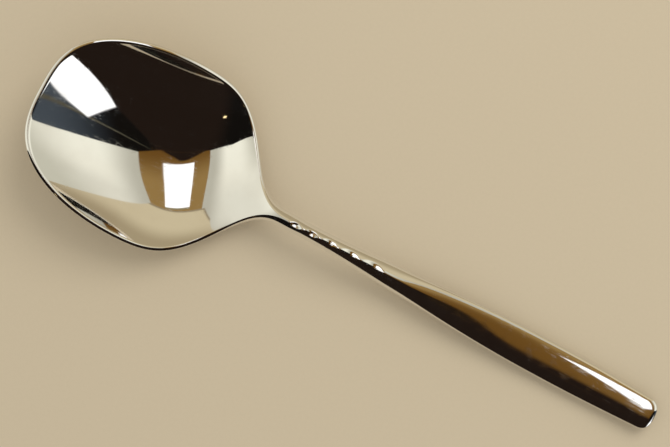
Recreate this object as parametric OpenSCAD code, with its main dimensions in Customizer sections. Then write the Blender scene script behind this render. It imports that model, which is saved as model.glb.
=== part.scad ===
// Serving spoon with a wide bowl: a pressed sheet bowl whose tongue is brazed into a solid handle.
// Lengths are in millimetres. Along the spoon, s runs from the bowl's tip to the handle's end,
// y is the distance from the centre line and z is the height above the table.

/* [Bowl] */
// Width of the bowl at its widest place
bowl_w = 58.2; // [50:0.1:68]
// Distance from the tip to the widest place
tip_l = 39.5; // [32:0.5:46]
// Distance from the widest place to the joint, where the hollow runs out
shoulder_l = 43.5; // [38:0.5:52]
// Distance from the tip to the deepest place of the hollow
deep_at = 42.5; // [40:0.5:52]
// Depth of the hollow below the rim line
bowl_depth = 12.8; // [10:0.1:15]
// Thickness of the sheet
sheet_t = 1.2; // [0.8:0.1:2]
// Width of the rounded lip, seen from above
lip_w = 1; // [0.6:0.1:1.6]
// Height of the lip's edge above the bowl's underside
lip_h = 0.35; // [0.2:0.05:0.6]
// Slope of the rim, down from the tip towards the neck, in degrees
rim_tilt = 8.5; // [5:0.5:11]
// Rise of the rim line above that slope at the joint
neck_rise = 4.2; // [3.5:0.1:6]
// Length of the rim line's rise up to the joint
neck_rise_l = 32; // [26:1:40]
// Height of the rim's wave, which swells beside the tip and dips at the shoulder
rim_swell = 3.1; // [1:0.1:3.6]
// Drop of the rim at both, which makes the dip deeper than the swell
rim_drop = 0.7; // [0:0.1:1]

/* [Neck] */
// Width of the neck at the joint
joint_w = 5.3; // [4.6:0.1:7]
// Width of the neck at its narrowest place
neck_w = 5; // [4.4:0.1:7]
// Distance from the joint to the narrowest place
neck_at = 6; // [2:0.5:12]
// Thickness of the neck at the joint
neck_t = 4.2; // [3.6:0.1:5.5]
// Height of the neck's side edge above its underside
neck_edge_h = 1.8; // [1:0.1:2.4]
// Length over which the sheet thickens up to the neck
thicken_l = 22; // [12:1:30]
// Length over which the lip widens into the neck's sloping shoulder
lip_grow_l = 16; // [10:1:20]

/* [Handle] */
// Length of the handle from the joint to its end
handle_l = 127; // [100:1:160]
// Width of the handle at its widest place
grip_w = 12; // [9:0.1:15]
// Thickness of the handle at its widest place
grip_t = 4.6; // [4:0.1:6]
// Height of the crown along the middle of the handle's back
grip_crown = 0.1; // [0.05:0.05:0.6]
// Distance from the joint to the widest place
grip_at = 87; // [70:0.5:100]
// Height of the handle's side edge above its underside
grip_edge_h = 1.2; // [0.8:0.1:1.8]
// Width of the handle where its round end begins
end_w = 10.4; // [8:0.1:13]
// Thickness of the handle at its end
end_t = 4.2; // [3.6:0.1:5.5]
// Length of the handle's round end
end_round_l = 5; // [4:0.5:8]
// Width of the rounding along the lower edges
under_round = 1.3; // [0.8:0.1:1.8]
// Depth ground off the handle's underside where it rests, so that it lies flat
rest_cut = 0.3; // [0.1:0.05:0.5]
// Length over which the rise of the neck bends over into the handle's slope
bend_l = 42; // [30:1:60]
// Height by which the handle's end turns up
end_lift = 1.7; // [1:0.1:4]

/* [Dimples] */
// Number of dimples along the crest
dimple_n = 5; // [1:1:7]
// Distance from the joint to the first dimple
dimple_start = 0.4; // [0.3:0.1:4]
// Length of the first dimple
dimple_l = 4.7; // [3:0.1:6]
// Growth from one dimple to the next
dimple_growth = 1.14; // [1:0.01:1.2]
// Gap between dimples
dimple_gap = 0.4; // [0.2:0.1:2]
// Width of the first dimple
dimple_w = 1.9; // [1:0.1:2.4]
// Depth of a dimple
dimple_d = 0.5; // [0.2:0.05:0.9]

/* [Brazed joint] */
// Length of the tongue
tongue_l = 10; // [6:0.5:16]
// Width of the tongue
tongue_w = 2.4; // [1.6:0.1:2.8]
// Thickness of the tongue
tongue_t = 1.3; // [0.8:0.1:1.6]
// Depth of the tongue's top below the crest
tongue_below = 1.6; // [1.4:0.1:1.8]
// Thickness of the braze between tongue and handle
braze_gap = 0.1; // [0.05:0.01:0.15]

/* [Curves] */
// Squareness of the tip's outline, where 2 is an ellipse
side_power = 2.9; // [2.6:0.05:3.6]
// Fullness of the outline between the widest place and the neck
flank_power = 3.6; // [3:0.05:5]
// Length of the outline's run into the neck
foot_power = 4.4; // [3:0.05:6]
// Fullness of the floor between the deepest place and the neck
floor_power = 3.2; // [2.6:0.05:4]
// Length of the floor's run into the neck
run_power = 3; // [2:0.1:4]
// Share of the wall's rise that crowds towards the rim, where 0 is an even curve
wall_lift = 0.5; // [0:0.01:0.6]
// Shortness of that share's run along the shoulder
lift_power = 6; // [2:0.1:8]
// Sharpness of the rim line's rise up to the joint
rise_power = 2.6; // [2.2:0.1:3]
// Fullness of the neck's roof shape, where 1 is flat and 2 is round
crest_power = 1.3; // [1.2:0.05:2]
// Squareness of the handle's section, where 2 is round
grip_power = 6; // [3:0.1:8]
// Squareness of the handle's end, seen from above
end_power = 2.8; // [2.2:0.1:4]
// Sharpness of the turn up to the handle's end
upturn_power = 6; // [3:0.5:8]

/* [Hidden] */

steel = [0.78, 0.77, 0.74];
braze = [0.80, 0.76, 0.66];

bowl_half = bowl_w / 2;
joint_s = tip_l + shoulder_l;
overall_l = joint_s + handle_l;
neck_s = joint_s + neck_at;
grip_s = joint_s + grip_at;
end_s = overall_l - end_round_l;
joint_slope = rise_power * neck_rise / neck_rise_l - tan(rim_tilt);

// Share of even curve at the start of the flank and of the floor, which makes their curvature
// meet the tip's at the widest and at the deepest place
flank_start = bowl_w / (bowl_w - joint_w) * pow(shoulder_l / tip_l, 2) / (side_power * foot_power);
floor_start = pow((joint_s - deep_at) / deep_at, 2) / run_power;

// Half-width of the flat that is left along the crest
crest_flat = 0.15;
// Width of the rounding under the bowl's lip
lip_corner = 0.12;
// Length over which the crest fades into the handle's round back, past the last dimple
crest_fade_l = 44;
// Skew of the neck's run out to the grip's width, where 1 is even
grip_skew = 0.9;
// Length of tongue that is buried in the bowl's neck
tongue_root = 2;
// Step used to measure slopes
step = 0.01;

// Numbers of facets: round the tip, along the shoulder, dimples, grip and round end
tip_n = 16;
shoulder_n = 26;
dimple_facets = 8;
grip_n = 26;
end_n = 8;
// Numbers of facets across a section: hollow, lip or back, lower edge and underside
hollow_n = 9;
back_n = 8;
edge_n = 3;
under_n = 7;

function unit(t) = min(max(t, 0), 1);
function ease(t) = pow(unit(t), 2) * (3 - 2 * unit(t));
function mix(a, b, t) = a + (b - a) * t;

// Half-width of the handle, and of the neck that the bowl runs into
function handle_half(s) =
    mix(mix(joint_w, neck_w, ease((s - joint_s) / neck_at)), grip_w,
        ease(pow(unit((s - neck_s) / (grip_s - neck_s)), grip_skew))) / 2
    - (grip_w - end_w) / 2 * pow(unit((s - grip_s) / (end_s - grip_s)), 2);

// Shares that grow from the tip to a place, and fade from that place to the joint
function grow(s, place) = 1 - pow(unit(1 - s / place), 2);
function fade(s, place, start, power, run) =
    let (u = unit((s - place) / (joint_s - place)))
    pow(1 - mix(pow(u, power), pow(u, 2), start), run);

// Half-width of the outline from the tip to the round end
function half_width(s) =
    s < tip_l ? bowl_half * pow(grow(s, tip_l), 1 / side_power)
    : mix(handle_half(s), bowl_half, fade(s, tip_l, flank_start, flank_power, foot_power));

// Depth of the floor below the rim line, and share of that depth at a place across the hollow
function floor_depth(s) =
    bowl_depth * (s < deep_at ? grow(s, deep_at) : fade(s, deep_at, floor_start, floor_power, run_power));
function wall(s, v) = pow(v, 2) * mix(1, pow(v, 2), wall_lift * fade(s, tip_l, 0, floor_power, lift_power));

// Height of the rim line, measured from the widest place
function rim_rise(s) =
    (tip_l - s) * tan(rim_tilt) + neck_rise * pow(unit(1 - (joint_s - s) / neck_rise_l), rise_power);

// Height of the rim at the widest place, with the lowest of the floor a sheet above the table
rim_z = sheet_t + max([for (s = [0:0.1:joint_s]) floor_depth(s) - rim_rise(s)]);

// Share of the joint's height along the handle, and the height of the handle's crest above its level:
// that share, the bend past the joint and the turned-up end
function way(s, run) = unit((s - joint_s) / run);
function arch_share(s) = pow(1 - way(s, handle_l), 3) * (1 + 3 * way(s, handle_l));
function arch_z(s) =
    joint_z * arch_share(s) + joint_slope * bend_l * way(s, bend_l) * pow(1 - way(s, bend_l), 3)
    + end_lift * pow(way(s, handle_l), upturn_power);
joint_z = rim_z + rim_rise(joint_s);

// Level of the handle at which its lowest place rests on the table, less what is ground off there
rest_z = max([for (s = [joint_s + handle_l / 2:0.5:overall_l])
    (handle_t(s) - rest_cut - arch_z(s)) / (1 - arch_share(s))]);

// Height of the rim line, which goes on as the handle's arched crest
function spine_z(s) =
    s < joint_s ? rim_z + rim_rise(s) : arch_z(s) + rest_z * (1 - arch_share(s));

// Height of the rim above the rim line: one wave from the tip to the joint, eased out where the lip grows
function swell(s) =
    let (wave = sin(360 * s / joint_s))
    (rim_swell * wave - rim_drop * pow(wave, 2)) * ease((joint_s - s) / lip_grow_l);

// Height of the hollow: the floor, and the share of the way up to the rim that the wall has climbed
function top_z(s, y) =
    let (climb = wall(s, unit(abs(y) / half_width(s))))
    spine_z(s) - floor_depth(s) * (1 - climb) + swell(s) * climb;

// Slope of the hollow, as a length on a one millimetre step
function top_stretch(s, y) =
    norm([1, (top_z(s + step, y) - top_z(s - step, y)) / (2 * step),
          (top_z(s, abs(y) + step) - top_z(s, abs(y))) / step]);

function bowl_t(s, y) =
    mix(sheet_t * top_stretch(s, y), neck_t, ease(1 - (joint_s - s) / thicken_l));
function handle_t(s) =
    s < grip_s ? mix(neck_t, grip_t, ease((s - joint_s) / grip_at))
    : mix(grip_t, end_t, ease((s - grip_s) / (overall_l - grip_s)));
function under_z(s, y) = max(0, top_z(s, y) - (s < joint_s ? bowl_t(s, y) : handle_t(s)));

// Share of the way from the bowl's lip to the neck's full shoulder
function lip_share(s) = ease(1 - (joint_s - s) / lip_grow_l);
function lip_width(s) = mix(lip_w, half_width(joint_s) - crest_flat, lip_share(s));
function edge_h(s) =
    s < joint_s ? mix(lip_h, neck_edge_h, lip_share(s))
    : mix(neck_edge_h, grip_edge_h, ease((s - joint_s) / grip_at));
function corner_width(s) = mix(lip_corner, under_round, lip_share(s));
function back_share(s) = ease((s - dimples_end) / crest_fade_l);
function back_power(s) =
    s < joint_s ? mix(2, crest_power, ease(1 - (joint_s - s) / thicken_l))
    : mix(crest_power, grip_power, back_share(s));

// Start, length and scoop of each dimple
function dimple_len(i) = dimple_l * pow(dimple_growth, i);
function dimple_s(i) = i == 0 ? joint_s + dimple_start : dimple_s(i - 1) + dimple_len(i - 1) + dimple_gap;
dimples_end = dimple_s(dimple_n - 1) + dimple_len(dimple_n - 1);
function dimple_scoop(s, y, i) =
    let (along = 2 * (s - dimple_s(i)) / dimple_len(i) - 1)
    let (across = 2 * y / (dimple_w * pow(dimple_growth, i)))
    dimple_d * pow(max(0, 1 - pow(along, 2) - pow(across, 2)), 2);
function dimple_cut(s, y) = max([for (i = [0:dimple_n - 1]) dimple_scoop(s, y, i)]);

// Outline points in plan: round the tip, along a side and round the end
function signed_pow(v, p) = sign(v) * pow(abs(v), p);
function tip_edge(a) =
    [tip_l * (1 - cos(a)), bowl_half * signed_pow(sin(a), 2 / side_power)];
function side_edge(s) = [s, half_width(s)];
function end_edge(a) =
    [end_s + end_round_l * pow(cos(a), 2 / end_power), half_width(end_s) * signed_pow(sin(a), 2 / end_power)];

// A station is an outline point, its outward direction and the point on the centre line that its
// section starts from
function outward(a, b) = let (d = (b - a) / norm(b - a)) [-d.y, d.x];
function tip_station(a) = [tip_edge(a), outward(tip_edge(a - step), tip_edge(a + step)), [tip_l, 0]];
function side_station(s) =
    let (square_on = outward(side_edge(s - step), side_edge(s + step)))
    [side_edge(s), mix(square_on, [0, 1], lip_share(s)), [s, 0]];
function end_station(a) = [end_edge(a), outward(end_edge(a + step), end_edge(a - step)), [end_s, 0]];

function at(plan, z) = [plan.x - overall_l / 2, plan.y, z];

// Half a section, from the top of the centre line round the edge to its underside
function half_section(station, is_bowl) =
    let (edge = station[0], outside = station[1], centre = station[2])
    let (out = edge - centre)
    let (ridge = is_bowl ? edge - lip_width(edge.x) * outside : centre + crest_flat * out / norm(out))
    let (corner = edge - corner_width(edge.x) * outside)
    let (corner_z = under_z(corner.x, corner.y), edge_z = corner_z + edge_h(edge.x))
    let (power = back_power(edge.x), crown = grip_crown * back_share(edge.x))
    concat(
        [for (j = [0:1:is_bowl ? hollow_n - 1 : 0])
            let (p = mix(centre, ridge, j / hollow_n))
            at(p, top_z(p.x, p.y) - dimple_cut(p.x, p.y))],
        [for (j = [0:back_n - 1])
            let (v = sin(90 * j / back_n), p = mix(ridge, edge, v))
            let (back_z = is_bowl ? top_z(ridge.x, ridge.y) : spine_z(p.x) - crown * pow(v, 2))
            at(p, mix(edge_z, back_z, pow(1 - pow(v, power), 1 / power)) - dimple_cut(p.x, p.y))],
        [for (j = [0:edge_n - 1])
            let (a = 90 * j / edge_n, p = mix(corner, edge, cos(a)))
            at(p, mix(edge_z, corner_z, sin(a)))],
        [for (j = [0:under_n])
            let (p = mix(centre, corner, 1 - j / under_n))
            at(p, under_z(p.x, p.y))]);

// The whole section: one half, and its mirror image on the way back
function section(station, is_bowl) =
    let (half = half_section(station, is_bowl))
    concat(half, [for (j = [len(half) - 2:-1:1]) [half[j].x, -half[j].y, half[j].z]]);

// Middle of a section, between the top and the underside of the centre line
function middle(section) = (section[0] + section[len(section) / 2]) / 2;

// Solid skinned over a list of sections, with a flat face on the first or the last where asked.
// A section that lies along the centre line needs none, because its two halves meet.
module skin(sections, close_first, close_last) {
    n = len(sections[0]);
    last = (len(sections) - 1) * n;
    points = concat([for (s = sections) each s], [middle(sections[0]), middle(sections[len(sections) - 1])]);
    sides = [for (i = [0:n:last - n], j = [0:n - 1])
        let (k = (j + 1) % n)
        each [[i + j, i + k, i + k + n], [i + j, i + k + n, i + j + n]]];
    first_face = [for (j = [0:n - 1]) [last + n, (j + 1) % n, j]];
    last_face = [for (j = [0:n - 1]) [last + n + 1, last + j, last + (j + 1) % n]];
    polyhedron(points, concat(sides, close_first ? first_face : [], close_last ? last_face : []));
}

// Bar that lies along the neck at the tongue's place, with room left all round it. It follows the
// straight line between the crest at the joint and the crest above the tongue's end.
tongue_rise = (spine_z(joint_s + tongue_l) - spine_z(joint_s)) / tongue_l;
module tongue_bar(room, back) {
    translate(at([joint_s, 0], spine_z(joint_s) - tongue_below))
        rotate([0, -atan(tongue_rise), 0])
            translate([-back, -tongue_w / 2 - room, -tongue_t - room])
                cube([back + braze_gap + tongue_l + room, tongue_w + 2 * room, tongue_t + 2 * room]);
}

module bowl() {
    tip = [for (i = [0:tip_n - 1]) tip_station(90 * i / tip_n)];
    shoulder = [for (i = [0:shoulder_n]) side_station(mix(tip_l, joint_s, i / shoulder_n))];
    color(steel) union() {
        skin([for (s = concat(tip, shoulder)) section(s, true)], false, true);
        tongue_bar(0, tongue_root);
    }
}

module handle() {
    dimples = [for (i = [0:dimple_n - 1], j = [0:dimple_facets])
        side_station(dimple_s(i) + dimple_len(i) * j / dimple_facets)];
    grip = [for (i = [1:grip_n]) side_station(mix(dimples_end, end_s, i / grip_n))];
    end = [for (i = [1:end_n]) end_station(90 - 90 * i / end_n)];
    stations = concat([side_station(joint_s + braze_gap)], dimples, grip, end);
    color(steel) difference() {
        skin([for (s = stations) section(s, false)], true, false);
        tongue_bar(braze_gap, tongue_root);
    }
}

module braze_seam() {
    color(braze) difference() {
        union() {
            skin([for (s = [joint_s, joint_s + braze_gap]) section(side_station(s), false)], true, true);
            tongue_bar(braze_gap, 0);
        }
        tongue_bar(0, tongue_root);
    }
}

bowl();
handle();
braze_seam();
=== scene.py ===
"""Serving spoon: a wide pressed bowl, a solid handle and the braze that joins them, on a studio stage.

The surfaces repeat the formulas of the solid model at a finer spacing. Along the spoon, s runs from the
bowl's tip to the handle's end, y is the distance from the centre line and z is the height above the table.
Lengths are in metres.
"""
import math

import bpy
import numpy as np
from bpy.props import FloatProperty, FloatVectorProperty, IntProperty, PointerProperty
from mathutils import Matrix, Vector


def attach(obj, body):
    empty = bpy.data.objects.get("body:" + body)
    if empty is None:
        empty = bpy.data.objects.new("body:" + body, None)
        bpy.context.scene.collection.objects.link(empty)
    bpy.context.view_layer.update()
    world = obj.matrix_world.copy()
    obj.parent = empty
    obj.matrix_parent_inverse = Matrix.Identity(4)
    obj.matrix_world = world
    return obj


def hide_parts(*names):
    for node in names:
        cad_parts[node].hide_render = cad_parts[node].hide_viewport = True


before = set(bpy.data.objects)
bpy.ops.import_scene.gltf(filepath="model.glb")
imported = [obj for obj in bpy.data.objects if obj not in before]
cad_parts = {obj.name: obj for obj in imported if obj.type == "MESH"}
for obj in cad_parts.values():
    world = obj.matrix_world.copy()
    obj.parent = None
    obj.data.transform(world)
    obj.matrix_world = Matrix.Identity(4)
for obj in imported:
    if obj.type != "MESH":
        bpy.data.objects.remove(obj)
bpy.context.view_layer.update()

bl_info = {
    "name": "Serving spoon",
    "version": (1, 0, 0),
    "blender": (4, 5, 0),
    "location": "View3D > Sidebar > Spoon",
    "description": "Builds a polished serving spoon and the stage that it is shown on",
    "category": "Add Mesh",
}

IMAGE_WIDTH = 670
SENSOR_WIDTH = 36.0
CLIP_START = 0.01
# Reach of the floor from the middle, and the share by which its fibre is lighter and darker
FLOOR_REACH = 4.0
FIBRE_CONTRAST = 0.03
# Width of the soft lamp and its place: to the image's right, up the image and above the table
LAMP_SIZE = 0.7
LAMP_PLACE = (0.45, 0.55, 0.8)

# Half-width of the flat that is left along the crest of the neck
CREST_FLAT = 0.00015
# Width of the rounding under the bowl's lip
LIP_CORNER = 0.00012
# Length over which the crest fades into the handle's crowned back, past the last dimple
CREST_FADE = 0.044
# Skew of the neck's run out to the grip's width, where 1 is even
GRIP_SKEW = 0.9
# Step used to measure slopes along the spoon, and round the tip and the end in degrees
STEP = 1e-5
TURN_STEP = 0.01
# Spacings at which the lowest places of the bowl and of the handle are looked for
BOWL_SEARCH = 1e-4
HANDLE_SEARCH = 5e-4
# Coordinates that agree to this length are one point
WELD = 1e-8

# Numbers of points in half a section of the bowl: hollow, lip, lower edge and underside
BOWL_POINTS = (54, 18, 6, 43)
# The same for the handle: crest, back, lower edge and underside
HANDLE_POINTS = (1, 71, 12, 37)
# Numbers of sections: round the tip, along the shoulder, the dimples and the grip, and round the end
TIP_ROWS = 100
SHOULDER_ROWS = 120
DIMPLE_ROWS = 200
GRIP_ROWS = 120
END_ROWS = 36
# Crowding of the sections towards the middle of the tip, where 1 is even
TIP_CROWDING = 1.5


def length(name, millimetres, description):
    """A length that the panel shows in the scene's unit."""
    return FloatProperty(name=name, description=description, default=millimetres / 1000, min=0.0,
                         precision=5, subtype="DISTANCE", unit="LENGTH")


def number(name, default, description):
    """A plain number, such as the power of a curve."""
    return FloatProperty(name=name, description=description, default=default, min=0.0, precision=3)


def share(name, default, description):
    """A share from 0 to 1."""
    return FloatProperty(name=name, description=description, default=default, min=0.0, max=1.0, precision=3,
                         subtype="FACTOR")


def angle(name, degrees, description):
    """An angle that the panel shows in degrees."""
    return FloatProperty(name=name, description=description, default=math.radians(degrees), subtype="ANGLE",
                         unit="ROTATION")


def tint(name, colour, description):
    """A colour, in linear light."""
    return FloatVectorProperty(name=name, description=description, default=colour, size=3, min=0.0, max=4.0,
                               subtype="COLOR")


class SpoonBowl(bpy.types.PropertyGroup):
    """Sizes of the bowl and of its run into the neck."""
    width: length("Width", 58.2, "Width of the bowl at its widest place")
    tip_length: length("Tip to widest", 39.5, "Distance from the tip to the widest place")
    shoulder_length: length("Widest to joint", 43.5, "Distance from the widest place to the joint")
    deep_at: length("Tip to deepest", 42.5, "Distance from the tip to the deepest place of the hollow")
    depth: length("Depth", 12.8, "Depth of the hollow below the rim line")
    sheet: length("Sheet", 1.2, "Thickness of the sheet")
    lip_width: length("Lip width", 1, "Width of the rounded lip, seen from above")
    lip_height: length("Lip height", 0.35, "Height of the lip's edge above the bowl's underside")
    rim_tilt: angle("Rim tilt", 8.5, "Slope of the rim, down from the tip towards the neck")
    neck_rise: length("Neck rise", 4.2, "Rise of the rim line above that slope at the joint")
    neck_rise_length: length("Neck rise length", 32, "Length of the rim line's rise up to the joint")
    rim_swell: length("Rim swell", 3.1, "Height of the rim's wave: up beside the tip, down at the shoulder")
    rim_drop: length("Rim drop", 0.7, "Drop of the rim at both, which makes the dip deeper than the swell")
    thicken_length: length("Thickening", 22, "Length over which the sheet thickens up to the neck")
    lip_grow_length: length("Lip growth", 16, "Length over which the lip widens into the neck's shoulder")
    side_power: number("Tip squareness", 2.9, "Squareness of the tip's outline, where 2 is an ellipse")
    flank_power: number("Flank fullness", 3.6, "Fullness of the outline from the widest place to the neck")
    foot_power: number("Flank run", 4.4, "Length of the outline's run into the neck")
    floor_power: number("Floor fullness", 3.2, "Fullness of the floor from the deepest place to the neck")
    run_power: number("Floor run", 3, "Length of the floor's run into the neck")
    wall_lift: share("Wall lift", 0.5, "Share of the wall's rise that crowds towards the rim")
    lift_power: number("Lift shortness", 6, "Shortness of that share's run along the shoulder")
    rise_power: number("Rise sharpness", 2.6, "Sharpness of the rim line's rise up to the joint")


class SpoonHandle(bpy.types.PropertyGroup):
    """Sizes of the neck and of the handle."""
    joint_width: length("Joint width", 5.3, "Width of the neck at the joint")
    neck_width: length("Neck width", 5, "Width of the neck at its narrowest place")
    neck_at: length("Joint to narrowest", 6, "Distance from the joint to the narrowest place")
    neck_thickness: length("Neck thickness", 4.2, "Thickness of the neck at the joint")
    neck_edge: length("Neck edge", 1.8, "Height of the neck's side edge above its underside")
    length: length("Length", 127, "Length of the handle from the joint to its end")
    grip_width: length("Grip width", 12, "Width of the handle at its widest place")
    grip_thickness: length("Grip thickness", 4.6, "Thickness of the handle at its widest place")
    crown: length("Crown", 0.1, "Height of the crown along the middle of the handle's back")
    grip_at: length("Joint to widest", 87, "Distance from the joint to the widest place")
    grip_edge: length("Grip edge", 1.2, "Height of the handle's side edge above its underside")
    end_width: length("End width", 10.4, "Width of the handle where its round end begins")
    end_thickness: length("End thickness", 4.2, "Thickness of the handle at its end")
    end_round: length("Round end", 5, "Length of the handle's round end")
    under_round: length("Lower rounding", 1.3, "Width of the rounding along the lower edges")
    rest_cut: length("Rest cut", 0.3, "Depth ground off the underside where it rests")
    bend: length("Bend", 42, "Length over which the neck's rise bends over into the handle's slope")
    end_lift: length("End lift", 1.7, "Height by which the handle's end turns up")
    crest_power: number("Crest fullness", 1.3, "Fullness of the neck's roof shape: 1 is flat, 2 is round")
    grip_power: number("Grip squareness", 6, "Squareness of the handle's section, where 2 is round")
    end_power: number("End squareness", 2.8, "Squareness of the handle's end, seen from above")
    upturn_power: number("Upturn sharpness", 6, "Sharpness of the turn up to the handle's end")


class SpoonDimples(bpy.types.PropertyGroup):
    """Sizes of the row of dimples along the crest of the neck."""
    count: IntProperty(name="Count", description="Number of dimples", default=5, min=1, max=7)
    start: length("Start", 0.4, "Distance from the joint to the first dimple")
    length: length("Length", 4.7, "Length of the first dimple")
    growth: number("Growth", 1.14, "Growth from one dimple to the next")
    gap: length("Gap", 0.4, "Gap between dimples")
    width: length("Width", 1.9, "Width of the first dimple")
    depth: length("Depth", 0.5, "Depth of a dimple")


class SpoonJoint(bpy.types.PropertyGroup):
    """Sizes of the brazed joint."""
    tongue_length: length("Tongue length", 10, "Length of the tongue")
    tongue_width: length("Tongue width", 2.4, "Width of the tongue")
    tongue_thickness: length("Tongue thickness", 1.3, "Thickness of the tongue")
    tongue_below: length("Tongue depth", 1.6, "Depth of the tongue's top below the crest")
    gap: length("Braze", 0.1, "Thickness of the braze between tongue and handle")


class SpoonFinish(bpy.types.PropertyGroup):
    """Colours and polish of the metals."""
    steel: tint("Steel", (0.86, 0.85, 0.825), "Reflection colour of the polished steel")
    steel_shade: tint("Steel shade", (0.82, 0.80, 0.77), "Reflection colour of the steel where it is worn")
    braze: tint("Braze", (0.84, 0.80, 0.70), "Reflection colour of the silver braze")
    polish: share("Polish", 0.025, "Roughness of the polished sheet")
    grip_polish: share("Grip polish", 0.03, "Roughness of the polished handle")
    wear: share("Wear", 0.05, "Roughness that wear adds in places")
    scratch: share("Scratches", 0.12, "Strength of the hairline scratches")


class SpoonStage(bpy.types.PropertyGroup):
    """Floor, light and camera."""
    floor: tint("Floor", (0.60, 0.50, 0.345), "Colour of the floor")
    backdrop: tint("Backdrop", (0.80, 0.77, 0.70), "Colour behind the floor")
    fill: number("Fill light", 0.72, "Level of the soft light from all round")
    lamp: FloatProperty(name="Lamp", description="Power of the large soft lamp", default=4.0, min=0.0,
                        subtype="POWER", unit="POWER")
    camera_height: length("Camera height", 459.59, "Height of the camera above the table")
    camera_x: FloatProperty(name="Camera place", description="Camera's place along the spoon",
                            default=-0.0093, precision=5, subtype="DISTANCE", unit="LENGTH")
    camera_y: FloatProperty(name="Camera offset", description="Camera's place across the spoon",
                            default=0.00606, precision=5, subtype="DISTANCE", unit="LENGTH")
    camera_turn: angle("Camera turn", 28.37, "Turn of the camera about its line of sight")
    focal_pixels: number("Focal length in pixels", 1490, "Focal length, in pixels of the image's width")


def unit(t):
    """t held between 0 and 1."""
    return np.clip(t, 0.0, 1.0)


def ease(t):
    """Smooth step from 0 to 1: 3 t squared less 2 t cubed."""
    held = unit(t)
    return held * held * (3.0 - 2.0 * held)


def mix(a, b, t):
    """The point a share t of the way from a to b."""
    return a + (b - a) * t


def signed_power(value, power):
    """A power of the size of a value, with its sign kept."""
    return np.sign(value) * np.abs(value) ** power


def outward(a, b):
    """Unit vectors square to the steps from a to b, on their left."""
    step = (b - a) / np.linalg.norm(b - a, axis=-1, keepdims=True)
    return np.stack([-step[..., 1], step[..., 0]], axis=-1)


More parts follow.
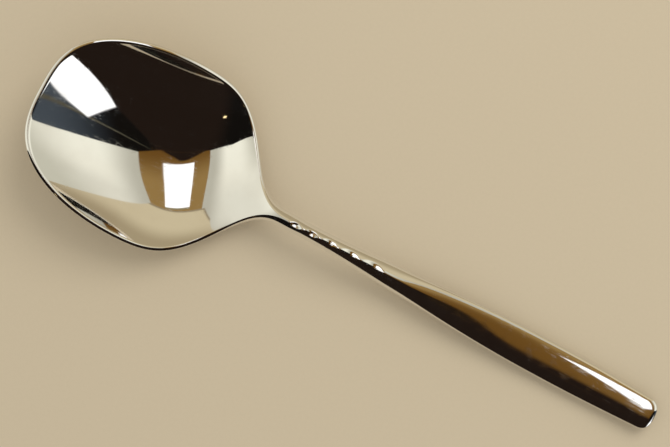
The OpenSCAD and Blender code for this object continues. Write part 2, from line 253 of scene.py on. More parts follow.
class SpoonShape:
    """Formulas of the spoon's surfaces, as functions of s and y."""

    def __init__(self, scene):
        self.bowl = bowl = scene.spoon_bowl
        self.handle = handle = scene.spoon_handle
        self.dimples = scene.spoon_dimples
        self.joint = scene.spoon_joint
        self.bowl_half = bowl.width / 2
        self.joint_s = bowl.tip_length + bowl.shoulder_length
        self.overall = self.joint_s + handle.length
        self.neck_s = self.joint_s + handle.neck_at
        self.grip_s = self.joint_s + handle.grip_at
        self.end_s = self.overall - handle.end_round
        self.tilt = math.tan(bowl.rim_tilt)
        self.joint_slope = bowl.rise_power * bowl.neck_rise / bowl.neck_rise_length - self.tilt
        # Shares of even curve that make the curvatures meet at the widest and at the deepest place
        self.flank_start = (bowl.width / (bowl.width - handle.joint_width)
                            * (bowl.shoulder_length / bowl.tip_length) ** 2
                            / (bowl.side_power * bowl.foot_power))
        self.floor_start = ((self.joint_s - bowl.deep_at) / bowl.deep_at) ** 2 / bowl.run_power
        order = np.arange(self.dimples.count)
        self.dimple_lengths = self.dimples.length * self.dimples.growth ** order
        self.dimple_widths = self.dimples.width * self.dimples.growth ** order
        gone = np.concatenate([[0.0], np.cumsum(self.dimple_lengths + self.dimples.gap)[:-1]])
        self.dimple_starts = self.joint_s + self.dimples.start + gone
        self.dimples_end = self.dimple_starts[-1] + self.dimple_lengths[-1]
        places = np.arange(0.0, self.joint_s, BOWL_SEARCH)
        self.rim_z = bowl.sheet + np.max(self.floor_depth(places) - self.rim_rise(places))
        self.joint_z = self.rim_z + self.rim_rise(self.joint_s)
        # Level of the handle at which its lowest place rests on the table, less what is ground off there
        places = np.arange(self.joint_s + handle.length / 2, self.overall, HANDLE_SEARCH)
        over = self.handle_thickness(places) - handle.rest_cut - self.arch_z(places)
        self.rest_z = np.max(over / (1.0 - self.arch_share(places)))

    def fade(self, s, place, start, power, run):
        """Share that falls from 1 at a place to 0 at the joint.

        It is 1 less a mix of two powers of the way, raised to a power.
        """
        way = unit((s - place) / (self.joint_s - place))
        return (1.0 - mix(way ** power, way ** 2, start)) ** run

    def grow(self, s, place):
        """Share that grows from 0 at the tip to 1 at a place, as a parabola."""
        return 1.0 - unit(1.0 - s / place) ** 2

    def handle_half(self, s):
        """Half-width of the handle: eased from joint to neck to grip, then drawn in to the end."""
        h = self.handle
        neck = mix(h.joint_width, h.neck_width, ease((s - self.joint_s) / h.neck_at))
        way = unit((s - self.neck_s) / (self.grip_s - self.neck_s)) ** GRIP_SKEW
        drawn = (h.grip_width - h.end_width) / 2 * unit((s - self.grip_s) / (self.end_s - self.grip_s)) ** 2
        return mix(neck, h.grip_width, ease(way)) / 2 - drawn

    def half_width(self, s):
        """Half-width of the outline: a superellipse round the tip, then a fade to the handle's."""
        b = self.bowl
        tip = self.bowl_half * self.grow(s, b.tip_length) ** (1.0 / b.side_power)
        faded = self.fade(s, b.tip_length, self.flank_start, b.flank_power, b.foot_power)
        return np.where(s < b.tip_length, tip, mix(self.handle_half(s), self.bowl_half, faded))

    def floor_depth(self, s):
        """Depth of the floor below the rim line: a parabola to its deepest place, then a fade."""
        b = self.bowl
        faded = self.fade(s, b.deep_at, self.floor_start, b.floor_power, b.run_power)
        return b.depth * np.where(s < b.deep_at, self.grow(s, b.deep_at), faded)

    def wall(self, s, v):
        """Share of the depth that the wall has climbed: v squared, and in part v to the fourth."""
        b = self.bowl
        lift = b.wall_lift * self.fade(s, b.tip_length, 0.0, b.floor_power, b.lift_power)
        return v ** 2 * mix(1.0, v ** 2, lift)

    def rim_rise(self, s):
        """Height of the rim line above the widest place: an even slope and a rise up to the joint."""
        b = self.bowl
        rise = b.neck_rise * unit(1.0 - (self.joint_s - s) / b.neck_rise_length) ** b.rise_power
        return (b.tip_length - s) * self.tilt + rise

    def arch_share(self, s):
        """Share of the joint's height, level at both ends of the handle: (1 - t) cubed times (1 + 3 t)."""
        way = unit((s - self.joint_s) / self.handle.length)
        return (1.0 - way) ** 3 * (1.0 + 3.0 * way)

    def arch_z(self, s):
        """Height of the crest above the handle's level: that share, the bend and the turned-up end."""
        h = self.handle
        way = unit((s - self.joint_s) / h.bend)
        bend = self.joint_slope * h.bend * way * (1.0 - way) ** 3
        lift = h.end_lift * unit((s - self.joint_s) / h.length) ** h.upturn_power
        return self.joint_z * self.arch_share(s) + bend + lift

    def spine_z(self, s):
        """Height of the rim line, which goes on as the handle's arched crest."""
        crest = self.arch_z(s) + self.rest_z * (1.0 - self.arch_share(s))
        return np.where(s < self.joint_s, self.rim_z + self.rim_rise(s), crest)

    def swell(self, s):
        """Height of the rim above its line: one wave from tip to joint, eased out where the lip grows."""
        b = self.bowl
        wave = np.sin(2.0 * math.pi * s / self.joint_s)
        return (b.rim_swell * wave - b.rim_drop * wave ** 2) * ease((self.joint_s - s) / b.lip_grow_length)

    def top_z(self, s, y):
        """Height of the hollow: the floor, and what the wall has climbed of the way up to the rim."""
        climb = self.wall(s, unit(np.abs(y) / np.maximum(self.half_width(s), STEP)))
        return self.spine_z(s) - self.floor_depth(s) * (1.0 - climb) + self.swell(s) * climb

    def bowl_thickness(self, s, y):
        """Upright thickness: the sheet's, stretched by the hollow's slope, eased up to the neck's."""
        along = (self.top_z(s + STEP, y) - self.top_z(s - STEP, y)) / (2.0 * STEP)
        across = (self.top_z(s, np.abs(y) + STEP) - self.top_z(s, np.abs(y))) / STEP
        stretch = np.sqrt(1.0 + along ** 2 + across ** 2)
        eased = ease(1.0 - (self.joint_s - s) / self.bowl.thicken_length)
        return mix(self.bowl.sheet * stretch, self.handle.neck_thickness, eased)

    def handle_thickness(self, s):
        """Thickness of the handle, eased from neck to grip and from grip to end."""
        h = self.handle
        run = mix(h.neck_thickness, h.grip_thickness, ease((s - self.joint_s) / h.grip_at))
        past = (s - self.grip_s) / (self.overall - self.grip_s)
        tail = mix(h.grip_thickness, h.end_thickness, ease(past))
        return np.where(s < self.grip_s, run, tail)

    def under_z(self, s, y):
        """Height of the underside, never below the table."""
        thickness = np.where(s < self.joint_s, self.bowl_thickness(s, y), self.handle_thickness(s))
        return np.maximum(0.0, self.top_z(s, y) - thickness)

    def lip_share(self, s):
        """Share of the way from the bowl's lip to the neck's full shoulder."""
        return ease(1.0 - (self.joint_s - s) / self.bowl.lip_grow_length)

    def lip_width(self, s):
        """Width of the lip, which grows into the neck's shoulder."""
        return mix(self.bowl.lip_width, self.half_width(self.joint_s) - CREST_FLAT, self.lip_share(s))

    def edge_height(self, s):
        """Height of the side edge above the underside."""
        h = self.handle
        before = mix(self.bowl.lip_height, h.neck_edge, self.lip_share(s))
        after = mix(h.neck_edge, h.grip_edge, ease((s - self.joint_s) / h.grip_at))
        return np.where(s < self.joint_s, before, after)

    def back_share(self, s):
        """Share of the way from the neck's crest to the handle's crowned back."""
        return ease((s - self.dimples_end) / CREST_FADE)

    def back_power(self, s):
        """Power of the section's shoulder: round at the lip, a roof at the neck, square at the grip."""
        h = self.handle
        before = mix(2.0, h.crest_power, ease(1.0 - (self.joint_s - s) / self.bowl.thicken_length))
        after = mix(h.crest_power, h.grip_power, self.back_share(s))
        return np.where(s < self.joint_s, before, after)

    def dimple_cut(self, s, y):
        """Depth of the dimples: for each, 1 less the squares of the ways along and across it, squared."""
        along = 2.0 * (s[..., None] - self.dimple_starts) / self.dimple_lengths - 1.0
        across = 2.0 * y[..., None] / self.dimple_widths
        return self.dimples.depth * np.max(np.maximum(0.0, 1.0 - along ** 2 - across ** 2) ** 2, axis=-1)

    def tip_edge(self, turn):
        """Outline round the tip at a turn in degrees: a superellipse."""
        a = np.radians(turn)
        x = self.bowl.tip_length * (1.0 - np.cos(a))
        return np.stack([x, self.bowl_half * signed_power(np.sin(a), 2.0 / self.bowl.side_power)], axis=-1)

    def side_edge(self, s):
        """Outline along a side."""
        return np.stack([s, self.half_width(s)], axis=-1)

    def end_edge(self, turn):
        """Outline round the handle's end at a turn in degrees: a superellipse."""
        a = np.radians(turn)
        power = 2.0 / self.handle.end_power
        x = self.end_s + self.handle.end_round * np.maximum(np.cos(a), 0.0) ** power
        return np.stack([x, self.half_width(self.end_s) * signed_power(np.sin(a), power)], axis=-1)

    def tip_stations(self, turn):
        """Outline points, outward directions and section centres round the tip."""
        edge = self.tip_edge(turn)
        out = outward(self.tip_edge(turn - TURN_STEP), self.tip_edge(turn + TURN_STEP))
        return edge, out, np.broadcast_to([self.bowl.tip_length, 0.0], edge.shape)

    def side_stations(self, s):
        """The same along a side, with the directions turned square to the spoon where the lip widens."""
        edge = self.side_edge(s)
        out = outward(self.side_edge(s - STEP), self.side_edge(s + STEP))
        out = mix(out, np.array([0.0, 1.0]), self.lip_share(s)[:, None])
        return edge, out, np.stack([s, np.zeros_like(s)], axis=-1)

    def end_stations(self, turn):
        """The same round the handle's end."""
        edge = self.end_edge(turn)
        out = outward(self.end_edge(turn + TURN_STEP), self.end_edge(turn - TURN_STEP))
        return edge, out, np.broadcast_to([self.end_s, 0.0], edge.shape)

    def rings(self, stations, is_bowl):
        """Closed sections at the stations: from the crest round the edge to the underside, and mirrored.

        Across the top the section follows the hollow, then a superellipse from the ridge down to the edge.
        A quarter of an ellipse rounds the lower edge, and the underside lies a thickness below the top.
        """
        edge, out, centre = (part[:, None, :] for part in stations)
        counts = BOWL_POINTS if is_bowl else HANDLE_POINTS
        s = edge[..., 0]
        away = edge - centre
        if is_bowl:
            ridge = edge - self.lip_width(s)[..., None] * out
        else:
            ridge = centre + CREST_FLAT * away / np.linalg.norm(away, axis=-1, keepdims=True)
        corner_width = mix(LIP_CORNER, self.handle.under_round, self.lip_share(s))
        corner = edge - corner_width[..., None] * out
        corner_z = self.under_z(corner[..., 0], corner[..., 1])
        edge_z = corner_z + self.edge_height(s)

        plan = mix(centre, ridge, (np.arange(counts[0]) / counts[0])[None, :, None])
        hollow_z = self.top_z(plan[..., 0], plan[..., 1]) - self.dimple_cut(plan[..., 0], plan[..., 1])
        parts = [(plan, hollow_z)]

        v = np.sin(np.arange(counts[1]) / counts[1] * math.pi / 2)[None, :]
        plan = mix(ridge, edge, v[..., None])
        if is_bowl:
            back_z = self.top_z(ridge[..., 0], ridge[..., 1])
        else:
            back_z = self.spine_z(plan[..., 0]) - self.handle.crown * self.back_share(s) * v ** 2
        power = self.back_power(s)
        shoulder_z = mix(edge_z, back_z, (1.0 - v ** power) ** (1.0 / power))
        parts.append((plan, shoulder_z - self.dimple_cut(plan[..., 0], plan[..., 1])))

        a = (np.arange(counts[2]) / counts[2] * math.pi / 2)[None, :]
        parts.append((mix(corner, edge, np.cos(a)[..., None]), mix(edge_z, corner_z, np.sin(a))))

        plan = mix(corner, centre, np.linspace(0.0, 1.0, counts[3])[None, :, None])
        parts.append((plan, self.under_z(plan[..., 0], plan[..., 1])))

        plan = np.concatenate([p for p, _ in parts], axis=1)
        z = np.concatenate([height for _, height in parts], axis=1)
        half = np.concatenate([plan - [self.overall / 2, 0.0], z[..., None]], axis=-1)
        return np.concatenate([half, half[:, -2:0:-1] * [1.0, -1.0, 1.0]], axis=1)

    def bar_ring(self, room, place, square_to_bar):
        """Rectangle round the tongue with room left beside it, with as many points as a section.

        It lies on an upright plane at a distance from the joint, or square to the tongue at a distance along
        it. The tongue follows the straight line from the crest at the joint to the crest above its end.
        """
        j = self.joint
        count = sum(HANDLE_POINTS) - 1
        way = np.arange(count + 1) / count
        half = j.tongue_width / 2 + room
        under = -j.tongue_thickness - room
        turns = [0.0, 1 / 3, 2 / 3, 1.0]
        y = np.interp(way, turns, [0.0, half, half, 0.0])
        up = np.interp(way, turns, [room, room, under, under])
        crest = self.spine_z(self.joint_s + np.array([0.0, j.tongue_length]))
        lean = math.atan((crest[1] - crest[0]) / j.tongue_length)
        along = place if square_to_bar else (place + up * math.sin(lean)) / math.cos(lean)
        x = self.joint_s - self.overall / 2 + along * math.cos(lean) - up * math.sin(lean)
        z = crest[0] - j.tongue_below + along * math.sin(lean) + up * math.cos(lean)
        ring = np.stack([np.broadcast_to(x, y.shape), y, z], axis=-1)
        return np.concatenate([ring, ring[-2:0:-1] * [1.0, -1.0, 1.0]])[None]


def pole(ring):
    """A ring drawn together to its middle, which closes the surface."""
    return np.broadcast_to(ring.mean(axis=1, keepdims=True), ring.shape)


def skin(name, rings, flat_rows, material):
    """A closed mesh over rings of equal count, each joined to the next. Points in one place become one.

    flat_rows are the rows of faces that are flat, such as end faces and the tongue's sides.
    """
    rows, count = rings.shape[:2]
    i, j = np.meshgrid(np.arange(rows - 1), np.arange(count), indexing="ij")
    k = (j + 1) % count
    faces = np.stack([i * count + j, (i + 1) * count + j, (i + 1) * count + k, i * count + k], axis=-1)
    flat = np.isin(i.ravel(), np.asarray(flat_rows) % (rows - 1))
    points = rings.reshape(-1, 3)
    _, first, place = np.unique(np.round(points / WELD).astype(np.int64), axis=0, return_index=True,
                                return_inverse=True)
    faces = place.reshape(-1)[faces.reshape(-1, 4)]
    kept = faces != np.roll(faces, -1, axis=1)
    # Two corners that are one point, across a face, leave no area
    whole = (kept.sum(axis=1) >= 3) & (faces[:, 0] != faces[:, 2]) & (faces[:, 1] != faces[:, 3])
    faces, kept, flat = faces[whole], kept[whole], flat[whole]
    totals = kept.sum(axis=1)
    corners = faces[kept]
    points = points[first]

    mesh = bpy.data.meshes.new(name)
    mesh.vertices.add(len(points))
    mesh.vertices.foreach_set("co", points.astype(np.float32).ravel())
    mesh.loops.add(len(corners))
    mesh.loops.foreach_set("vertex_index", corners.astype(np.int32))
    mesh.polygons.add(len(totals))
    mesh.polygons.foreach_set("loop_start", (np.cumsum(totals) - totals).astype(np.int32))
    mesh.polygons.foreach_set("use_smooth", ~flat)
    mesh.update(calc_edges=True)
    edges = np.empty(len(corners), np.int32)
    mesh.loops.foreach_get("edge_index", edges)
    sharp = np.zeros(len(mesh.edges), bool)
    sharp[edges[np.repeat(flat, totals)]] = True
    mesh.edges.foreach_set("use_edge_sharp", sharp)
    if mesh.validate():
        raise RuntimeError(name + " has faces that Blender had to mend")
    mesh.materials.append(material)
    piece = bpy.data.objects.new(name, mesh)
    bpy.context.scene.collection.objects.link(piece)
    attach(piece, "root")
    return piece


# Places of the colour sockets on a mix node
MIX_FROM, MIX_TO, MIX_RESULT = 6, 7, 2


def put(tree, kind, inputs=None, **settings):
    """A new node with its settings, and with its inputs linked or set."""
    node = tree.nodes.new(kind)
    for name, value in settings.items():
        setattr(node, name, value)
    for key, value in (inputs or {}).items():
        if isinstance(value, bpy.types.NodeSocket):
            tree.links.new(value, node.inputs[key])
        else:
            node.inputs[key].default_value = value
    return node


def math_node(tree, operation, *values):
    """Result of a math node."""
    return put(tree, "ShaderNodeMath", dict(enumerate(values)), operation=operation).outputs[0]


def dot(tree, a, b):
    """Product of two vectors."""
    return put(tree, "ShaderNodeVectorMath", {0: a, 1: b}, operation="DOT_PRODUCT").outputs["Value"]


def noise(tree, place, scale, detail, roughness):
    """Level of a soft noise, from 0 to 1 and mostly near the middle."""
    return put(tree, "ShaderNodeTexNoise", {"Vector": place, "Scale": scale, "Detail": detail,
                                            "Roughness": roughness}).outputs["Fac"]


def blend_colours(tree, a, b, factor):
    """Colour a share of the way from a to b."""
    node = put(tree, "ShaderNodeMix", {"Factor": factor}, data_type="RGBA", clamp_factor=True)
    for socket, value in ((node.inputs[MIX_FROM], a), (node.inputs[MIX_TO], b)):
        if isinstance(value, bpy.types.NodeSocket):
            tree.links.new(value, socket)
        else:
            socket.default_value = (*value, 1.0)
    return node.outputs[MIX_RESULT]


def ranged(tree, value, low, high, to_low=0.0, to_high=1.0):
    """Smooth step of a value between two limits."""
    limits = {"Value": value, "From Min": low, "From Max": high, "To Min": to_low, "To Max": to_high}
    return put(tree, "ShaderNodeMapRange", limits, interpolation_type="SMOOTHSTEP").outputs["Result"]


def new_material(name):
    """An empty node material with its output."""
    material = bpy.data.materials.new(name)
    material.use_nodes = True
    material.node_tree.nodes.clear()
    return material, material.node_tree, put(material.node_tree, "ShaderNodeOutputMaterial")


# Noises of the finishes as scale, detail and roughness: worn clouds, smears, scratches and floor fibre
CLOUDS = (55.0, 3.0, 0.55)
SMEARS = (420.0, 4.0, 0.6)
SCRATCH_LINES = (1.0, 1.0, 0.4)
FIBRE = (900.0, 4.0, 0.7)
# The noise that breaks the scratches up: its scale, what each degree of their turn adds to that, and its
# detail and roughness
BREAK_SCALE = 260.0
BREAK_TURN = 3.0
BREAK_DETAIL = (2.0, 0.5)
# Levels of those noises between which wear, smears and scratches come in
WORN_LEVELS = (0.42, 0.72)
SMEAR_LEVELS = (0.45, 0.75)
BREAK_LEVELS = (0.5, 0.62)
# Shares of the clouds and of the smears in the wear
CLOUD_SHARE = 0.6
SMEAR_SHARE = 0.4
# Strength and depth of the scratches' relief
RELIEF = 0.05
RELIEF_DEPTH = 0.00002

# Hairline scratches as turn in degrees, stretch along X, Y and Z, and width in levels of the noise: wiping
# marks all ways in the bowl, polishing lines along the handle
BOWL_SCRATCHES = ((20.0, (30.0, 700.0, 300.0), 0.006), (-48.0, (40.0, 620.0, 300.0), 0.005),
                  (82.0, (45.0, 560.0, 300.0), 0.004))
HANDLE_SCRATCHES = ((2.0, (14.0, 1500.0, 900.0), 0.014), (-3.0, (22.0, 900.0, 700.0), 0.010),
                    (38.0, (60.0, 640.0, 300.0), 0.004))
BRAZE_SCRATCHES = HANDLE_SCRATCHES[:1]


def hairlines(tree, place, turn, stretch, width):
    """Thin scratches: where a stretched noise passes through its middle, broken up by a second noise."""
    turned = put(tree, "ShaderNodeMapping", {"Vector": place, "Rotation": (0.0, 0.0, math.radians(turn)),
                                             "Scale": stretch})
    lines = noise(tree, turned.outputs[0], *SCRATCH_LINES)
    off_middle = math_node(tree, "ABSOLUTE", math_node(tree, "SUBTRACT", lines, 0.5))
    broken = noise(tree, place, BREAK_SCALE + BREAK_TURN * abs(turn), *BREAK_DETAIL)
    line = ranged(tree, off_middle, 0.0, width, 1.0, 0.0)
    return math_node(tree, "MULTIPLY", line, ranged(tree, broken, *BREAK_LEVELS))


def polished_metal(name, finish, colour, polish, scratches):
    """Mirror polish: a metal whose tint and roughness drift with wear, under hairline scratches."""
    material, tree, output = new_material(name)
    place = put(tree, "ShaderNodeTexCoord").outputs["Object"]
    worn = ranged(tree, noise(tree, place, *CLOUDS), *WORN_LEVELS)
    smeared = ranged(tree, noise(tree, place, *SMEARS), *SMEAR_LEVELS)
    marks = hairlines(tree, place, *scratches[0])
    for scratch in scratches[1:]:
        marks = math_node(tree, "MAXIMUM", marks, hairlines(tree, place, *scratch))
    faint = math_node(tree, "MULTIPLY", marks, finish.scratch)
    cloud = math_node(tree, "MULTIPLY", worn, CLOUD_SHARE)
    smear = math_node(tree, "MULTIPLY", smeared, SMEAR_SHARE)
    dull = math_node(tree, "MULTIPLY", math_node(tree, "ADD", cloud, smear), finish.wear)
    rough = math_node(tree, "ADD", math_node(tree, "ADD", dull, polish), faint)
    bump = put(tree, "ShaderNodeBump", {"Strength": RELIEF, "Distance": RELIEF_DEPTH, "Height": marks},
               invert=True)
    tinted = blend_colours(tree, tuple(colour), tuple(finish.steel_shade), worn)
    shader = put(tree, "ShaderNodeBsdfPrincipled", {"Base Color": tinted, "Metallic": 1.0,
                                                    "Roughness": rough, "Normal": bump.outputs[0]})
    tree.links.new(shader.outputs[0], output.inputs["Surface"])
    return material


# The studio round the spoon, seen in its polish: tints in linear light, and places in degrees from straight
# up, to the image's right and up. A line has two places, and the place called inside tells which side of it
# is meant. Edges are soft by so many degrees on either side.
EDGE_SOFT = 0.35
PEAK_SOFT = 0.6
COOL_SOFT = 0.6
STREAK_SOFT = 0.2
SOFTBOX_SOFT = 0.5
SPARK_SOFT = 0.3
WALL = (1.0, 0.98, 0.84)
WALL_DIM = (0.62, 0.60, 0.49)
WALL_NEAR = (0.55, 0.53, 0.44)
WALL_HIGH = (0.84, 0.82, 0.70)
WINDOW_LIGHT = (1.35, 1.35, 1.35)
WINDOW = [(13.5, -3.1), (16.0, 25.8), (-10.4, 27.9), (-4.0, -2.2)]
SILL = [(16.0, 25.8), (15.8, 27.2), (-10.8, 29.6), (-10.4, 27.9)]
SILL_TINT = (0.30, 0.25, 0.15)
POST = (0.33, 0.205, 0.07)
POST_DIM = (0.155, 0.074, 0.0145)
POSTS = [(24.1, -7.6), (27.3, 25.8), (-25.2, 33.4), (-16.0, -6.9), (14.6, -9.4)]
SCREEN = (0.0155, 0.0095, 0.0066)
SCREEN_DARK = (0.006, 0.005, 0.004)
SCREEN_COOL = (0.065, 0.08, 0.097)
SCREEN_RIGHT = ((25.5, -7.6), (58.1, -12.9))
SCREEN_LEFT = ((-17.6, -6.8), (-44.0, -7.0))
SCREEN_FAR = ((-44.0, -7.0), (-80.2, -14.1))
SCREEN_INSIDE = (0.0, -60.0)
SCREEN_PEAK = [(14.6, -9.7), (5.4, -4.2), (1.0, -4.2), (-12.0, -7.5)]
COOL_EDGE = ((29.5, -28.6), (15.8, -9.3))
COOL_INSIDE = (45.0, -20.0)
STREAK = [(53.2, -28.9), (16.8, -8.4), (53.2, -27.2)]
STREAK_TINT = (0.10, 0.09, 0.06)
SOFTBOX = [(36.0, -70.0), (32.5, -55.9), (29.5, -28.6), (41.2, -21.3), (50.7, -31.3), (63.3, -47.5)]
SPARK = [(-28.6, -37.2), (-31.0, -39.8), (-34.6, -39.2), (-32.2, -36.6)]
SPARK_TINT = (1.6, 1.2, 0.6)
BOARD = (0.66, 0.56, 0.37)
BOARD_DIM = (0.42, 0.34, 0.21)
BOARD_EDGE = (0.27, 0.21, 0.125)
BOARD_RIGHT = ((27.8, 25.8), (60.0, 49.0))
BOARD_LEFT = ((27.8, 25.8), (-28.3, 33.8))
BOARD_END = ((-28.0, 33.8), (-36.4, 46.5))
BOARD_CORNER = ((-36.4, 46.5), (-38.6, 57.0))
BOARD_INSIDE = (0.0, 70.0)
# Angles from the board's edge between which its shade runs out
BOARD_SHADE = (0.2, 2.4)
# Slow changes of tint: a line, a place beyond it, and the angles from it between which the tint changes
WALL_UPWARD = (((-60.0, 18.0), (60.0, 18.0)), (0.0, 60.0), -10.0, 14.0)
WALL_RIGHTWARD = (((48.0, 40.0), (48.0, -30.0)), (90.0, 0.0), -3.0, 27.0)
WALL_LEFTWARD = (((-58.0, 60.0), (-58.0, -30.0)), (-90.0, 0.0), -10.0, 30.0)
PAST_RIGHT_POST = (POSTS[:2], (60.0, 0.0), 1.0, 19.0)
PAST_LEFT_POST = (POSTS[2:4], (-60.0, 0.0), 4.0, 22.0)
BOARD_UPWARD = (((40.0, 50.0), (-40.0, 56.0)), (0.0, 90.0), -8.0, 26.0)
SCREEN_LEFTWARD = (((-24.0, -10.0), (-40.0, -70.0)), (-90.0, -30.0), -12.0, 16.0)
COOL_RIGHTWARD = (((29.0, -60.0), (29.0, 0.0)), (60.0, -30.0), 0.0, 30.0)
POSTS_DOWNWARD = (((30.0, -2.0), (-30.0, -2.0)), (0.0, -40.0), -12.0, 7.0)


def image_axes(stage):
    """The image's right and up directions on the table."""
    turn = stage.camera_turn
    return Vector((math.cos(turn), math.sin(turn), 0.0)), Vector((-math.sin(turn), math.cos(turn), 0.0))


def flat_map(tree, stage):
    """The direction of a ray as a spot on a flat map of the studio, with 1 as its third number.

    A direction that leans from straight up by an angle lies the tangent of half that angle out from the
    middle. Edges that are straight on this map look straight in a dish.
    """
    ray = put(tree, "ShaderNodeTexCoord").outputs["Generated"]
    right, up = (dot(tree, ray, axis) for axis in image_axes(stage))
    height = math_node(tree, "ADD", put(tree, "ShaderNodeSeparateXYZ", {0: ray}).outputs["Z"], 1.0)
    spot = put(tree, "ShaderNodeCombineXYZ", {"X": math_node(tree, "DIVIDE", right, height),
                                              "Y": math_node(tree, "DIVIDE", up, height), "Z": 1.0})
    return spot.outputs[0]


def on_map(place):
    """Spot on the flat map of a direction that leans by so many degrees to the image's right and up."""
    lean = math.hypot(*place)
    if lean == 0.0:
        return Vector((0.0, 0.0))
    out = math.tan(math.radians(lean) / 2) / lean
    return Vector((place[0] * out, place[1] * out))


def beyond(tree, spot, line, inside, low=-EDGE_SOFT, high=EDGE_SOFT):
    """Share that grows from 0 to 1 across the line through two places, towards a third.

    It grows between two angles from the line, in degrees.
    """
    a, b, c = (on_map(place) for place in (*line, inside))
    normal = Vector((a.y - b.y, b.x - a.x)).normalized()
    if normal.dot(c - a) < 0.0:
        normal.negate()
    off = dot(tree, spot, (normal.x, normal.y, -normal.dot(a)))
    return ranged(tree, off, math.radians(low) / 2, math.radians(high) / 2)


def both(tree, *shares):
    """Product of shares."""
    product = shares[0]
    for other in shares[1:]:
        product = math_node(tree, "MULTIPLY", product, other)
    return product


def panel(tree, spot, corners, soft=EDGE_SOFT):
    """Share that is 1 inside a panel with its corners in order, whose edges are soft by so many degrees."""
    middle = (sum(c[0] for c in corners) / len(corners), sum(c[1] for c in corners) / len(corners))
    lines = zip(corners, corners[1:] + corners[:1])
    return both(tree, *(beyond(tree, spot, line, middle, -soft, soft) for line in lines))


def studio(tree, stage):
    """Colour of the studio in each direction.

    Laid over each other: pale wall, board with a shaded edge, dark screen with a cool side, posts, window
    with its sill, softbox and a small lamp.
    """
    spot = flat_map(tree, stage)

    def side(*change):
        return beyond(tree, spot, *change)

    def within(corners, soft=EDGE_SOFT):
        return panel(tree, spot, corners, soft)

    def lay(under, over, share_of):
        return blend_colours(tree, under, over, share_of)

    wall = lay(WALL, WALL_HIGH, side(*WALL_UPWARD))
    wall = lay(wall, WALL_DIM, side(*WALL_RIGHTWARD))
    wall = lay(wall, WALL_DIM, side(*WALL_LEFTWARD))
    past_posts = math_node(tree, "MAXIMUM", side(*PAST_RIGHT_POST), side(*PAST_LEFT_POST))
    wall = lay(WALL_NEAR, wall, past_posts)

    inner = both(tree, *(side(line, BOARD_INSIDE, *BOARD_SHADE) for line in (BOARD_LEFT, BOARD_END)))
    board = lay(BOARD_EDGE, lay(BOARD, BOARD_DIM, side(*BOARD_UPWARD)), inner)
    edges = (BOARD_RIGHT, BOARD_LEFT, BOARD_END, BOARD_CORNER)
    colour = lay(wall, board, both(tree, *(side(line, BOARD_INSIDE) for line in edges)))

    cool = lay(SCREEN_DARK, SCREEN_COOL, side(*COOL_RIGHTWARD))
    cool = lay(cool, STREAK_TINT, within(STREAK, STREAK_SOFT))
    screen = lay(SCREEN, SCREEN_DARK, side(*SCREEN_LEFTWARD))
    screen = lay(screen, cool, side(COOL_EDGE, COOL_INSIDE, -COOL_SOFT, COOL_SOFT))
    edges = (SCREEN_RIGHT, SCREEN_LEFT, SCREEN_FAR)
    colour = lay(colour, screen, both(tree, *(side(line, SCREEN_INSIDE) for line in edges)))

    colour = lay(colour, lay(POST, POST_DIM, side(*POSTS_DOWNWARD)), within(POSTS))
    colour = lay(colour, SCREEN, within(SCREEN_PEAK, PEAK_SOFT))
    colour = lay(colour, WINDOW_LIGHT, within(WINDOW))
    colour = lay(colour, SILL_TINT, within(SILL))
    colour = lay(colour, WINDOW_LIGHT, within(SOFTBOX, SOFTBOX_SOFT))
    return lay(colour, SPARK_TINT, within(SPARK, SPARK_SOFT))


class SPOON_OT_bowl(bpy.types.Operator):
    """Makes the bowl, its neck and the tongue that goes into the handle"""
    bl_idname = "spoon.add_bowl"
    bl_label = "Bowl"
    bl_options = {"REGISTER", "UNDO"}

    def execute(self, context):
        scene = context.scene
        shape = SpoonShape(scene)
        finish = scene.spoon_finish
        bowl, joint = scene.spoon_bowl, scene.spoon_joint
        turns = 90.0 * (np.arange(TIP_ROWS) / TIP_ROWS) ** TIP_CROWDING
        along = np.linspace(bowl.tip_length, shape.joint_s, SHOULDER_ROWS + 1)
        rings = [shape.rings(shape.tip_stations(turns), True),
                 shape.rings(shape.side_stations(along), True), shape.bar_ring(0.0, 0.0, False),
                 shape.bar_ring(0.0, joint.gap + joint.tongue_length, True)]
        rings.append(pole(rings[-1]))
        steel = polished_metal("polished_steel", finish, finish.steel, finish.polish, BOWL_SCRATCHES)
        piece = skin("polished_bowl", np.concatenate(rings), (-1, -2, -3), steel)
        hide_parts("bowl")
        return {"FINISHED"}


class SPOON_OT_handle(bpy.types.Operator):
    """Makes the handle with its dimples and the slot for the tongue"""
    bl_idname = "spoon.add_handle"
    bl_label = "Handle"
    bl_options = {"REGISTER", "UNDO"}

    def execute(self, context):
        scene = context.scene
        shape = SpoonShape(scene)
        finish, joint = scene.spoon_finish, scene.spoon_joint
        slot_end = shape.bar_ring(joint.gap, 2.0 * joint.gap + joint.tongue_length, True)
        neck = np.linspace(shape.joint_s + joint.gap, shape.dimples_end, DIMPLE_ROWS + 1)
        grip = np.linspace(shape.dimples_end, shape.end_s, GRIP_ROWS + 1)[1:]
        way = np.arange(1, END_ROWS + 1) / END_ROWS
        turns = 90.0 * (1.0 + np.cos(math.pi * way)) / 2.0
        rings = [pole(slot_end), slot_end, shape.bar_ring(joint.gap, joint.gap, False),
                 shape.rings(shape.side_stations(np.concatenate([neck, grip])), False),
                 shape.rings(shape.end_stations(turns), False)]
        steel = polished_metal("forged_steel", finish, finish.steel, finish.grip_polish, HANDLE_SCRATCHES)
        piece = skin("forged_handle", np.concatenate(rings), (0, 1, 2), steel)
        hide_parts("handle")
        return {"FINISHED"}


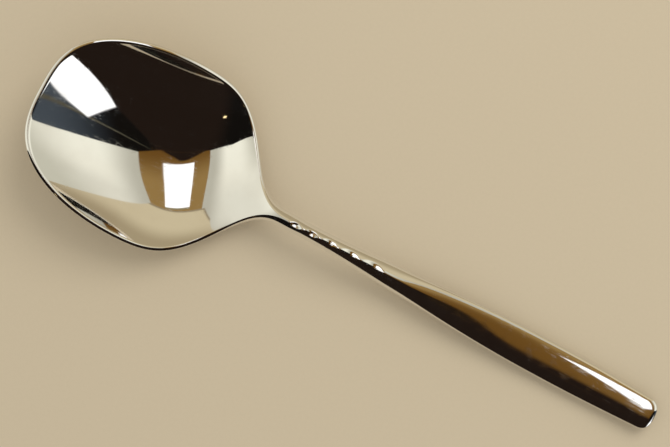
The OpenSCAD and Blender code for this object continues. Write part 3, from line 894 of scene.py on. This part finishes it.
class SPOON_OT_braze(bpy.types.Operator):
    """Makes the film of braze between the tongue and the handle"""
    bl_idname = "spoon.add_braze"
    bl_label = "Braze"
    bl_options = {"REGISTER", "UNDO"}

    def execute(self, context):
        scene = context.scene
        shape = SpoonShape(scene)
        finish, joint = scene.spoon_finish, scene.spoon_joint
        tongue_end = shape.bar_ring(0.0, joint.gap + joint.tongue_length, True)
        slot_end = shape.bar_ring(joint.gap, 2.0 * joint.gap + joint.tongue_length, True)
        faces = np.array([shape.joint_s, shape.joint_s + joint.gap])
        rings = [pole(tongue_end), tongue_end, shape.bar_ring(0.0, 0.0, False),
                 shape.rings(shape.side_stations(faces), False),
                 shape.bar_ring(joint.gap, joint.gap, False), slot_end, pole(slot_end)]
        silver = polished_metal("silver_braze", finish, finish.braze, finish.polish, BRAZE_SCRATCHES)
        piece = skin("braze_film", np.concatenate(rings), (0, 1, 2, 4, 5, 6), silver)
        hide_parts("braze_seam")
        return {"FINISHED"}


class SPOON_OT_stage(bpy.types.Operator):
    """Makes the floor, the light and the camera"""
    bl_idname = "spoon.add_stage"
    bl_label = "Stage"
    bl_options = {"REGISTER", "UNDO"}

    def execute(self, context):
        scene = context.scene
        stage = scene.spoon_stage
        self.make_floor(scene, stage)
        self.make_world(scene, stage)
        self.make_lamp(scene, stage)
        self.make_camera(scene, stage)
        scene.view_settings.view_transform = "Standard"
        return {"FINISHED"}

    def make_floor(self, scene, stage):
        """A wide level sheet at the table's height, with a faint fibre."""
        corners = [(x * FLOOR_REACH, y * FLOOR_REACH, 0.0) for x, y in ((-1, -1), (1, -1), (1, 1), (-1, 1))]
        mesh = bpy.data.meshes.new("floor")
        mesh.from_pydata(corners, [], [(0, 1, 2, 3)])
        material, tree, output = new_material("floor_paper")
        place = put(tree, "ShaderNodeTexCoord").outputs["Object"]
        light = tuple(min(c * (1.0 + FIBRE_CONTRAST), 1.0) for c in stage.floor)
        dark = tuple(c * (1.0 - FIBRE_CONTRAST) for c in stage.floor)
        tinted = blend_colours(tree, dark, light, noise(tree, place, *FIBRE))
        shader = put(tree, "ShaderNodeBsdfPrincipled", {"Base Color": tinted, "Roughness": 0.9,
                                                        "Specular IOR Level": 0.1})
        tree.links.new(shader.outputs[0], output.inputs["Surface"])
        mesh.materials.append(material)
        floor = bpy.data.objects.new("floor", mesh)
        scene.collection.objects.link(floor)

    def make_world(self, scene, stage):
        """Plain light from all round, a plain backdrop, and the studio in what the polish reflects."""
        world = bpy.data.worlds.new("studio")
        world.use_nodes = True
        tree = world.node_tree
        tree.nodes.clear()
        path = put(tree, "ShaderNodeLightPath")
        plain = (stage.fill, stage.fill, stage.fill)
        colour = blend_colours(tree, plain, studio(tree, stage), path.outputs["Is Glossy Ray"])
        colour = blend_colours(tree, colour, tuple(stage.backdrop), path.outputs["Is Camera Ray"])
        background = put(tree, "ShaderNodeBackground", {"Color": colour, "Strength": 1.0})
        output = put(tree, "ShaderNodeOutputWorld", {"Surface": background.outputs[0]})
        tree.nodes.active = output
        scene.world = world

    def make_lamp(self, scene, stage):
        """One large soft lamp from the image's upper right, which the polish doesn't show."""
        right, up = image_axes(stage)
        lamp = bpy.data.lights.new("soft_lamp", "AREA")
        lamp.shape = "DISK"
        lamp.size = LAMP_SIZE
        lamp.energy = stage.lamp
        holder = bpy.data.objects.new("soft_lamp", lamp)
        holder.location = right * LAMP_PLACE[0] + up * LAMP_PLACE[1] + Vector((0.0, 0.0, LAMP_PLACE[2]))
        holder.rotation_euler = holder.location.to_track_quat("Z", "Y").to_euler()
        holder.visible_glossy = False
        scene.collection.objects.link(holder)

    def make_camera(self, scene, stage):
        """A camera that looks straight down, turned as the image is."""
        camera = bpy.data.cameras.new("camera")
        camera.sensor_fit = "HORIZONTAL"
        camera.sensor_width = SENSOR_WIDTH
        camera.lens = stage.focal_pixels / IMAGE_WIDTH * SENSOR_WIDTH
        camera.clip_start = CLIP_START
        holder = bpy.data.objects.new("camera", camera)
        holder.location = (stage.camera_x, stage.camera_y, stage.camera_height)
        holder.rotation_euler = (0.0, 0.0, stage.camera_turn)
        scene.collection.objects.link(holder)
        scene.camera = holder


class SPOON_PT_panel(bpy.types.Panel):
    """Lists the spoon's pieces with their sizes"""
    bl_idname = "SPOON_PT_panel"
    bl_label = "Serving spoon"
    bl_space_type = "VIEW_3D"
    bl_region_type = "UI"
    bl_category = "Spoon"

    def draw(self, context):
        for operator in OPERATORS:
            self.layout.operator(operator.bl_idname)
        for name, group in GROUPS:
            box = self.layout.box()
            box.label(text=group.__doc__)
            settings = getattr(context.scene, name)
            for key in group.__annotations__:
                box.prop(settings, key)


GROUPS = (("spoon_bowl", SpoonBowl), ("spoon_handle", SpoonHandle), ("spoon_dimples", SpoonDimples),
          ("spoon_joint", SpoonJoint), ("spoon_finish", SpoonFinish), ("spoon_stage", SpoonStage))
OPERATORS = (SPOON_OT_bowl, SPOON_OT_handle, SPOON_OT_braze, SPOON_OT_stage)


def register():
    """Registers the classes and hangs the settings on the scene."""
    for name, group in GROUPS:
        bpy.utils.register_class(group)
        setattr(bpy.types.Scene, name, PointerProperty(type=group))
    for operator in OPERATORS:
        bpy.utils.register_class(operator)
    bpy.utils.register_class(SPOON_PT_panel)


def unregister():
    """Takes them off again, the last first."""
    bpy.utils.unregister_class(SPOON_PT_panel)
    for operator in reversed(OPERATORS):
        bpy.utils.unregister_class(operator)
    for name, group in reversed(GROUPS):
        delattr(bpy.types.Scene, name)
        bpy.utils.unregister_class(group)


def main():
    """Makes every piece and the stage."""
    register()
    bpy.ops.spoon.add_bowl()
    bpy.ops.spoon.add_handle()
    bpy.ops.spoon.add_braze()
    bpy.ops.spoon.add_stage()


if __name__ == "__main__":
    main()
